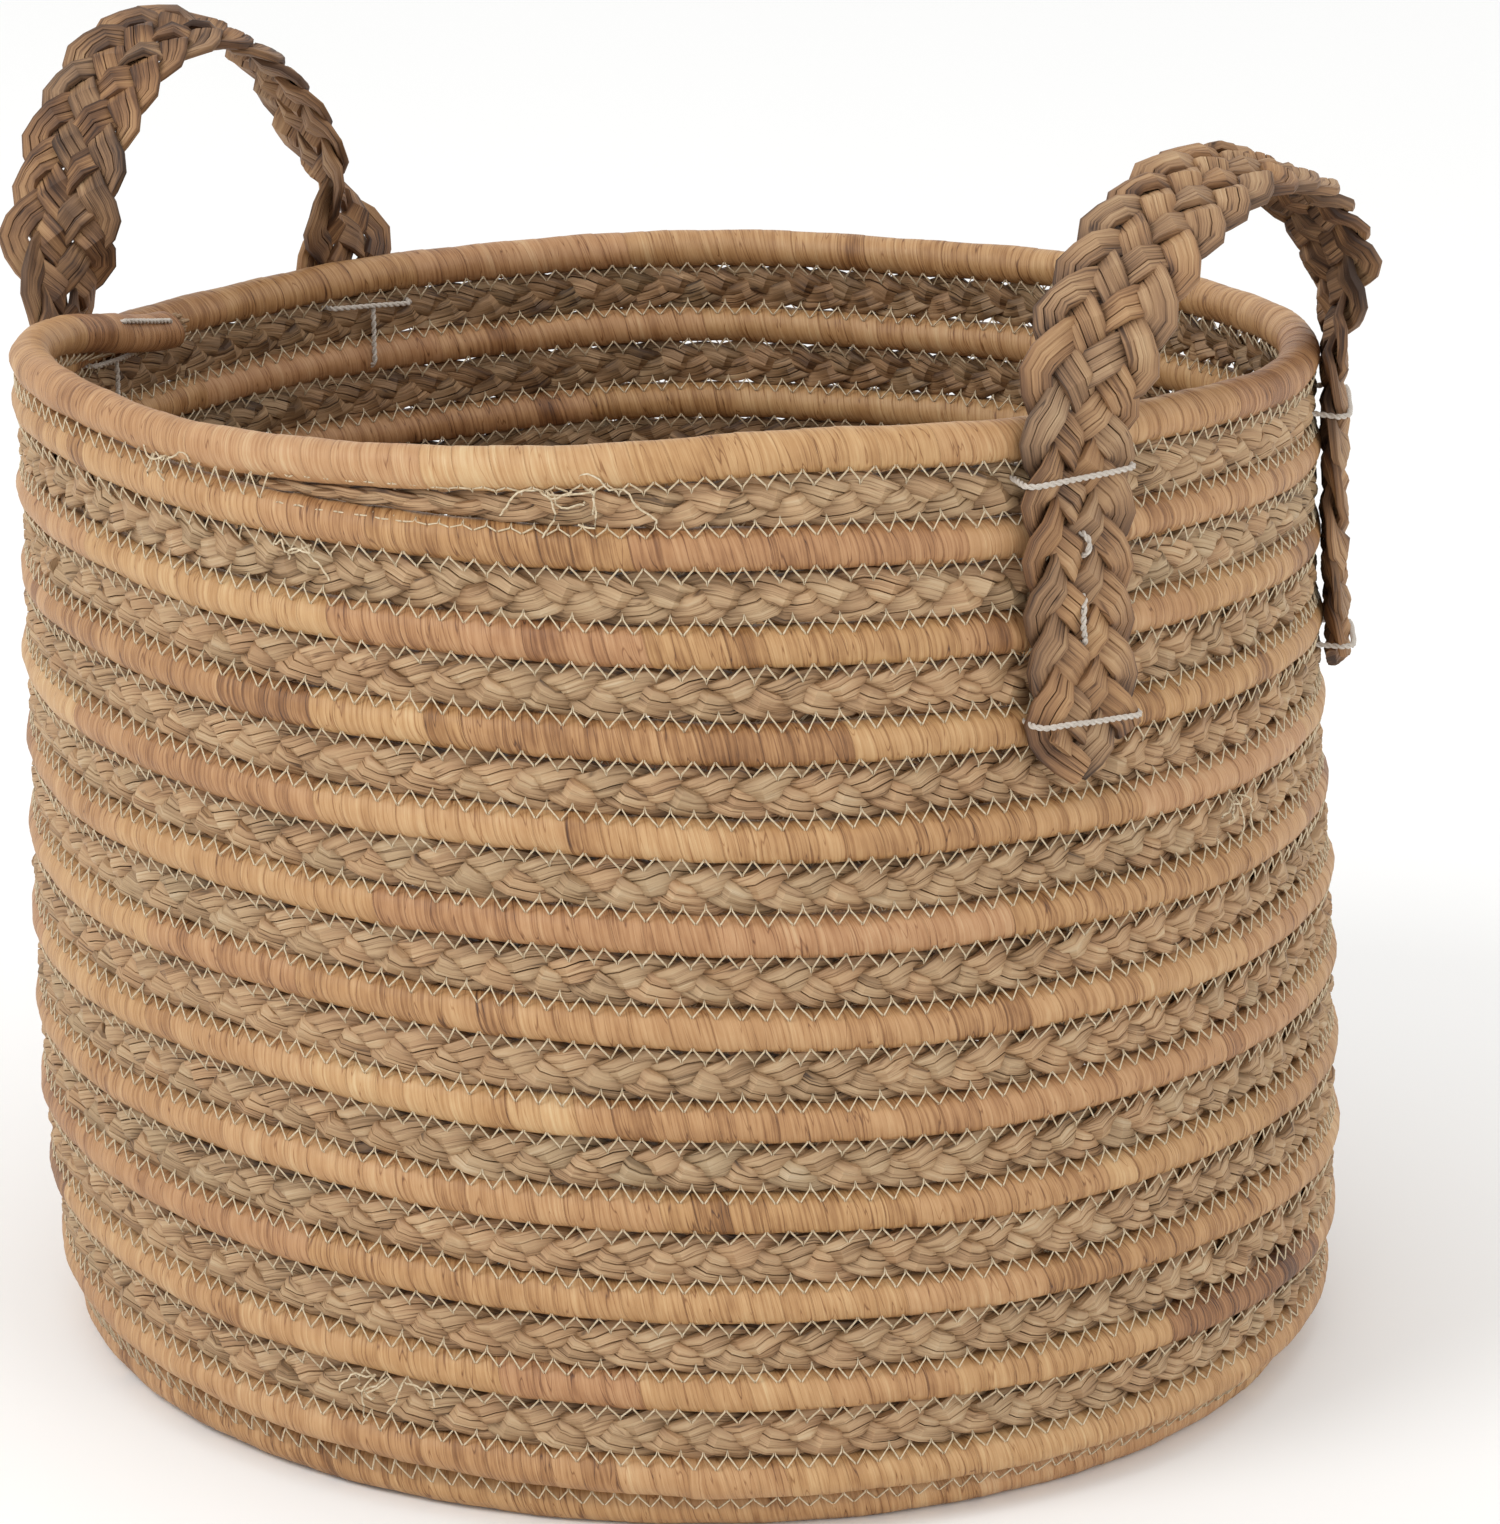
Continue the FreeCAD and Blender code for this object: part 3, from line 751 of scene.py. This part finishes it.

# --------------------------------------------------
# The handle straps
# Each handle is one flat braid of five folded leaf strips. It comes up the outside of the wall,
# arches over the rim and goes down the wall again.

STRAP_WIDTH = 37.0
STRAP_THICKNESS = 6.5
STRAP_CLEARANCE = 0.5
LEG_TOP_BELOW_RIM = 2.0
PIVOT_ABOVE_RIM = 12.0
BEND_HALF_LENGTH = 14.0
TWIST_HEIGHT = 45.0
HANDLES = {
    "handle_1": {
        "legs": (-25.8, 24.0), "leg_lengths": (88.0, 98.0), "rise": 65.0, "out": 4.0, "twist": 78.0,
        "cords_below_rim": (8.5, 14.5),
    },
    "handle_2": {
        "legs": (151.3, 190.0), "leg_lengths": (96.0, 96.0), "rise": 85.0, "out": 11.0, "twist": -78.0,
        "cords_below_rim": (8.5, 8.5),
    },
}
SAMPLES_PER_STRAP_PERIOD = 20
STRAP = {  # the same measures as the plait's, for five strips
    "period": 77.0,
    "swing": STRAP_WIDTH / 2.0 - 3.7,
    "round": 0.95,
    "half_width": 4.9,
    "thick": 1.5,
    "square": 0.6,
    "lift": 2.4,
    "lean": 0.3,
    "over": np.array([0.0, 1.0, -1.0, 1.0, -1.0, 0.0, 1.0, -1.0, 1.0, -1.0]),
    "stray": 0.45,
}


def outwards(angle):
    return np.array([math.cos(math.radians(angle)), math.sin(math.radians(angle)), 0.0])


def at_lengths(s, lengths, points):
    """The points of a run, or any three-part values along it, at the lengths s."""
    return np.stack([np.interp(s, lengths, points[:, c]) for c in range(3)], axis=1)


def rim_height(angle):
    return float(coil_at(((angle - TOP_END_ANGLE) / 360.0) % 1.0)[1])


def leg_point(angle, height):
    stand_off = wall_radius(height) + COIL_RADIUS + STRAP_CLEARANCE + STRAP_THICKNESS / 2.0
    return place(angle, stand_off, height)


def strap_path(handle):
    """The strap's middle line from one leg's foot over the crown to the other's, with its faces."""
    angle_a, angle_b = handle["legs"]
    points, normals = [], []
    down_a, down_b = [LEG_TOP_BELOW_RIM + length for length in handle["leg_lengths"]]
    ends = [leg_point(angle, rim_height(angle)) for angle in (angle_a, angle_b)]
    outs = [outwards(angle) for angle in (angle_a, angle_b)]
    for z in np.arange(-down_a, 0.0, 2.0):
        points.append(leg_point(angle_a, rim_height(angle_a) + z))
        normals.append(outs[0])
    middle, half = (ends[0] + ends[1]) / 2.0, (ends[1] - ends[0]) / 2.0
    outward = unit(np.array([half[1], -half[0], 0.0]))
    crown = np.array([0.0, 0.0, handle["rise"]]) + outward * handle["out"]
    for swing in np.linspace(0.0, math.pi, 160):
        points.append(middle - half * math.cos(swing) + crown * math.sin(swing))
        angle = angle_a + (angle_b - angle_a) * float(smooth(swing / math.pi))
        leg_out = outwards(angle)
        arch_out = np.array([0.0, 0.0, math.sin(swing)]) - unit(half) * math.cos(swing)
        turned = float(smooth(handle["rise"] * math.sin(swing) / TWIST_HEIGHT))
        twist = math.radians(handle["twist"]) * turned
        normals.append(leg_out * math.cos(twist) + arch_out * math.sin(twist))
    for z in np.arange(-2.0, -down_b - 0.1, -2.0):
        points.append(leg_point(angle_b, rim_height(angle_b) + z))
        normals.append(outs[1])
    points, normals = np.array(points), np.array(normals)
    lengths = run_lengths(points)
    s = np.arange(0.0, lengths[-1], 1.0)
    line, face = at_lengths(s, lengths, points), at_lengths(s, lengths, normals)
    width = 9
    soft = np.ones(width) / width
    for field in (line, face):
        for c in range(3):
            padded = np.concatenate([
                2 * field[0, c] - field[width // 2:0:-1, c], field[:, c],
                2 * field[-1, c] - field[-2:-width // 2 - 1:-1, c]])
            field[:, c] = np.convolve(padded, soft, mode="valid")[:len(s)]
    along = unit(np.gradient(line, axis=0))
    face = unit(face - along * dot(face, along))
    return s, line, along, face


# The same leaf in wider folded strips, older and browner from the hand: dark tan with grey, some
# strips nearly chocolate, and a dry, fibrous skin with worn light creases.
brown_leaf = [
    (0.0, "#382111"), (0.28, "#6B492D"), (0.5, "#926B46"), (0.72, "#A88158"), (1.0, "#BD9B72")]
ashen_leaf = [
    (0.0, "#382618"), (0.28, "#664E38"), (0.5, "#8A6D51"), (0.72, "#A08465"), (1.0, "#B79D7C")]
strip_leaf = dry_skin(
    "dried_leaf_strip_folded",
    # veins 0.4 mm apart, drawn about 0.8 mm apart
    stripes=((0.045, 1.3, 4.1), 4.5, 0.66, 0.95),
    blotches=[((0.06, 0.12, 2.3), 2.0, 0.5, 0.6)],
    slit_shadows=((0.02, 0.55, 7.7), 0.022, 0.36),
    ramps=(brown_leaf, ashen_leaf), shine=(0.78, 0.55), ridges=(0.6, 0.0007))


def braid_five(handle, key):
    """Five strips that turn back at the strap's edges and end at uneven lengths."""
    rng = np.random.default_rng(7000 + key)
    places, line, along, face = strap_path(handle)
    side = np.cross(face, along)
    step = STRAP["period"] / SAMPLES_PER_STRAP_PERIOD
    strips = []
    for n in range(5):
        s = np.arange(rng.integers(0, 3), int(places[-1] / step) - rng.integers(0, 3)) * step
        fields = [at_lengths(s, places, field) for field in (line, along, side, face)]
        strips.append(creased_strand(STRAP, s, n / 5.0, 1, fields, np.ones(len(s)), rng, n, 5))
    return strips


for key, (name, handle) in enumerate(HANDLES.items()):
    strap = make_piece(name + "_strap", braid_five(handle, key), strip_leaf)
    pivots = [leg_point(angle, rim_height(angle)) + np.array([0.0, 0.0, PIVOT_ABOVE_RIM])
              for angle in handle["legs"]]
    axis = unit(pivots[1] - pivots[0])
    upright = unit(np.array([0.0, 0.0, 1.0]) - axis * axis[2])
    midway = (pivots[0] + pivots[1]) / 2.0
    start, end = [(midway + upright * way * BEND_HALF_LENGTH) * 0.001 for way in (-1.0, 1.0)]
    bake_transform(strap)
    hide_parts(*[name + part for part in ("_loop", "_leg_a", "_leg_b", "_bend_a", "_bend_b")])

# --------------------------------------------------
# The white cords
# Soft two-ply cord binds each strap leg to the wall: a stitch over the strap below the rim and
# another near its foot, joined by a run inside. Two short stitches catch one leg's middle as well.

CORD_RADIUS = 0.8
CORD_PITCH = 4.6
PLY_OFF, PLY_RADIUS = 0.52, 0.62  # a ply's distance off the middle and radius, by the cord's
LOWER_CORD_ABOVE_END = 14.0

# Twisted cotton cord, bleached: a clean off-white that has greyed a little, matt and soft.
cord_white = spun_skin(
    "bleached_cotton_cord_twisted",
    repeats=(0.8, 0.9, 1.0),
    ramp=[(0.25, "#9C9184"), (0.5, "#C4BBB0"), (0.75, "#DBD4CA")], rough=0.85, fuzz=0.0004)


def twisted_cord(corners, lane=0, lanes=1):
    """Two plies twisted round each other along a rounded run through the corners."""
    corners = np.array(corners, float)
    lengths = run_lengths(corners)
    s = np.linspace(0.0, lengths[-1], max(8, int(lengths[-1] / 0.55)))
    line = at_lengths(s, lengths, corners)
    for _ in range(3):
        line[1:-1] = (line[:-2] + line[1:-1] + line[2:]) / 3.0
    along = unit(np.gradient(line, axis=0))
    side = unit(np.cross(along, np.array([0.21, 0.37, 0.91])))
    other = np.cross(along, side)
    plies = []
    for ply in range(2):
        turn = (s / CORD_PITCH * 2.0 * math.pi + ply * math.pi)[:, None]
        own = line + (np.cos(turn) * side + np.sin(turn) * other) * CORD_RADIUS * PLY_OFF
        plies.append(rod(own, CORD_RADIUS * PLY_RADIUS, 8, lane * 2 + ply, lanes * 2, cuts=2))
    return plies


def across_leg(angle, height, slant, rng):
    """A cord's way over a strap from one edge to the other, and back through the wall inside."""
    off = STRAP["lift"] + STRAP["thick"] + CORD_RADIUS * 0.8
    reach = STRAP_WIDTH / 2.0 + CORD_RADIUS * 0.4
    middle = leg_point(angle, height)
    outward = outwards(angle)
    side = np.array([-outward[1], outward[0], 0.0])
    up = np.array([0.0, 0.0, 1.0])
    inside = -(STRAP_THICKNESS / 2.0 + STRAP_CLEARANCE + 2.0 * COIL_RADIUS + 1.2)
    steps = [(-reach + 6.0, inside), (-reach + 4.5, inside + 1.0), (-reach + 2.0, -5.5), (-reach, off - 3.2),
             (-reach + 2.2, off - 0.5), (-9.0, off), (0.0, off - 0.15), (9.0, off), (reach - 2.2, off - 0.5),
             (reach, off - 3.2), (reach - 2.0, -5.5), (reach - 4.5, inside + 1.0), (reach - 6.0, inside),
             (0.0, inside - 0.4), (-reach + 6.0, inside)]
    return [middle + side * a + outward * b + up * (slant * a + rng.normal(0.0, 0.12)) for a, b in steps]


LINK = ((0.0, 0.3), (6.0, 0.0), (12.0, 0.4), (19.0, 0.2), (21.0, 3.5))  # how far down, how far sunk in
for key, (name, handle) in enumerate(HANDLES.items()):
    sides = zip("ab", handle["legs"], handle["leg_lengths"], handle["cords_below_rim"])
    for side_name, angle, length, cord_below_rim in sides:
        rng = np.random.default_rng(8100 + key * 2 + ord(side_name))
        top = rim_height(angle) - cord_below_rim
        foot = rim_height(angle) - LEG_TOP_BELOW_RIM - length + LOWER_CORD_ABOVE_END
        for row, height, slant in (("upper", top, 0.03), ("lower", foot, -0.05)):
            run = across_leg(angle, height, slant, rng)
            piece = make_piece("%s_%s_stitch_%s" % (name, row, side_name), twisted_cord(run), cord_white)
            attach(piece, "basket")
            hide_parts("%s_%s_cord_%s" % (name, row, side_name))
        # the run that joins the two stitches shows on the inside, then sinks between two courses
        depth = -(STRAP_THICKNESS / 2.0 + STRAP_CLEARANCE + 2.0 * COIL_RADIUS + 1.1)
        outward = outwards(angle)
        link = [leg_point(angle, top - down) + outward * (depth + sunk) for down, sunk in LINK]
        piece = make_piece("%s_inside_link_%s" % (name, side_name), twisted_cord(link), cord_white)
        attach(piece, "basket")

# two short stitches catch the middle of the first handle's front leg down to the wall
angle = HANDLES["handle_1"]["legs"][0]
outward = outwards(angle)
aside = np.array([-outward[1], outward[0], 0.0])
off = STRAP["lift"] + STRAP["thick"] + 0.3
CATCHES = ((-24.0, -30.5, 0.8), (-41.0, -55.0, -2.2))  # top and foot over the rim, and sideways bow
catches = []
for n, (high, low, bow) in enumerate(CATCHES):
    run = []
    for share, sunk in ((0.0, 5.5), (0.04, 1.2), (0.3, 0.0), (0.6, 0.0), (0.95, 1.2), (1.0, 5.5)):
        z = rim_height(angle) + high + (low - high) * share
        run.append(leg_point(angle, z) + outward * (off - sunk) + aside * (bow * 4.0 * share * (1.0 - share)))
    catches += twisted_cord(run, n, 2)
piece = make_piece("handle_1_middle_stitches", catches, cord_white)
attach(piece, "basket")

# the stitch that ties the coil's tucked-in top end to the rim, over its inner upper side
TIE = ((0.008, 4.5), (0.009, 6.4), (0.018, 6.9), (0.028, 6.9), (0.037, 6.4), (0.038, 4.5))
tie = []
for ahead, proud in TIE:  # turns past the cut end, and mm from the coil's middle
    centre, _, up, out = frames(coil_point, np.array([TUCK_START + ahead]))
    tie.append((centre + proud * (0.62 * up - 0.78 * out))[0])
piece = make_piece("rim_end_stitch", twisted_cord(tie), cord_white)
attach(piece, "basket")
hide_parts("rim_end_cord")

# --------------------------------------------------
# The loose ends
# What the maker left untrimmed: the stems that stand out of the coil's cut end, and the curled
# tails of sewing thread where a bobbin ran out.

stems = []
rng = np.random.default_rng(5200)
centre, along, up, out = [v[0] for v in frames(coil_point, np.array([TUCK_START]))]
STEMS, STEM_RADIUS, END_RADIUS = 34, 0.62, 4.9
for n in range(STEMS):
    spin, from_middle = 2.4 * n, END_RADIUS * math.sqrt((n + 0.5) / STEMS)
    across = up * (from_middle * math.cos(spin)) + out * (from_middle * math.sin(spin))
    length = rng.uniform(0.6, 2.6)
    base = centre + across + along * 1.5
    tip = centre + across * 1.03 - along * length
    stems.append(rod(np.linspace(base, tip, 4), STEM_RADIUS * rng.uniform(0.8, 1.15), 6, n, STEMS))
piece = make_piece("coil_end_cut_stems", stems, leaf)
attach(piece, "basket")

TAILS = ((0.212, 5), (0.318, 5), (0.330, 4), (4.497, 5), (10.27, 6), (1.259, 3))  # turn, how many
TAIL_STEPS, TAIL_STEP = 9, 1.9
TAIL_PROUD = (5.2, 7.4)  # how far out of the plait's middle a tail lies
tails = []
count = sum(number for _, number in TAILS)
for turn, number in TAILS:
    seam = (plait_point(np.array([turn])) + coil_point(np.array([turn]))) / 2.0
    centre, along, up, out = [v[0] for v in frames(plait_point, np.array([turn]))]
    for n in range(number):
        start = seam[0] + out * 4.6 + along * rng.uniform(-6.0, 6.0)
        heading = unit(along * rng.normal(0.0, 1.0) - up * rng.uniform(-0.2, 1.0) + out * 0.15)
        run = [start - out * 1.6]
        for _ in range(TAIL_STEPS):
            run.append(run[-1] + heading * TAIL_STEP)
            heading = unit(heading + rng.normal(0.0, 0.42, 3) - up * 0.10 - out * 0.10 * (len(run) - 3))
            beyond = float(np.dot(run[-1] - centre, out))
            run[-1] = run[-1] + out * (float(np.clip(beyond, *TAIL_PROUD)) - beyond)
        tails.append(rod(np.array(run), THREAD_RADIUS * 1.15, 5, len(tails), count))
piece = make_piece("thread_tails", tails, thread)
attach(piece, "basket")

# --------------------------------------------------
# The floor, the light and the camera
# A large white floor under a soft even sky, one big soft lamp from the upper left in front and a
# weaker one from the right. The camera looks a little down, over the rim.

floor_mesh = bpy.data.meshes.new("white_floor")
work = bmesh.new()
bmesh.ops.create_grid(work, x_segments=2, y_segments=2, size=12.0)
work.to_mesh(floor_mesh)
work.free()
floor = bpy.data.objects.new("white_floor", floor_mesh)
bpy.context.scene.collection.objects.link(floor)
white, tree, shader = new_material("matt_white_paper")
shader.inputs["Base Color"].default_value = linear("#F7F7F6")
shader.inputs["Roughness"].default_value = 0.9
shader.inputs["Specular IOR Level"].default_value = 0.1
floor_mesh.materials.append(white)

world = bpy.data.worlds.new("studio")
world.use_nodes = True
world.node_tree.nodes["Background"].inputs["Color"].default_value = linear("#FFFFFF")
world.node_tree.nodes["Background"].inputs["Strength"].default_value = 1.0
bpy.context.scene.world = world
AIM = (0.0, 0.0, 0.16)  # the middle of the basket, in metres


def soft_lamp(name, place_at, size, watts):
    lamp = bpy.data.lights.new(name, "AREA")
    lamp.shape = "DISK"
    lamp.size = size
    lamp.energy = watts
    holder = bpy.data.objects.new(name, lamp)
    holder.location = place_at
    direction = np.array(AIM) - np.array(place_at)
    flat = math.hypot(direction[0], direction[1])
    tip, turn = math.atan2(direction[2], flat), math.atan2(direction[1], direction[0])
    holder.rotation_euler = (math.pi / 2.0 + tip, 0.0, turn - math.pi / 2.0)
    bpy.context.scene.collection.objects.link(holder)


soft_lamp("key_lamp", (-0.9, -1.9, 2.1), size=1.3, watts=26.0)
soft_lamp("fill_lamp", (2.2, -0.9, 1.2), size=1.4, watts=8.0)

camera_data = bpy.data.cameras.new("camera")
camera_data.sensor_fit = "AUTO"
camera_data.sensor_width = 36.0
camera_data.lens = 129.5
camera = bpy.data.objects.new("camera", camera_data)
camera.location = (0.7627, -1.4074, 0.6527)
# how far it is turned to its left, how far down it looks, and a slight roll
AROUND, DOWN, ROLL = math.radians(27.97), math.radians(16.84), 0.0106
camera.rotation_mode = "QUATERNION"
aimed = Matrix.Rotation(AROUND, 3, "Z") @ Matrix.Rotation(math.pi / 2.0 - DOWN, 3, "X")
camera.rotation_quaternion = (aimed @ Matrix.Rotation(ROLL, 3, "Z")).to_quaternion()
bpy.context.scene.collection.objects.link(camera)
bpy.context.scene.camera = camera
bpy.context.scene.view_settings.view_transform = "Standard"
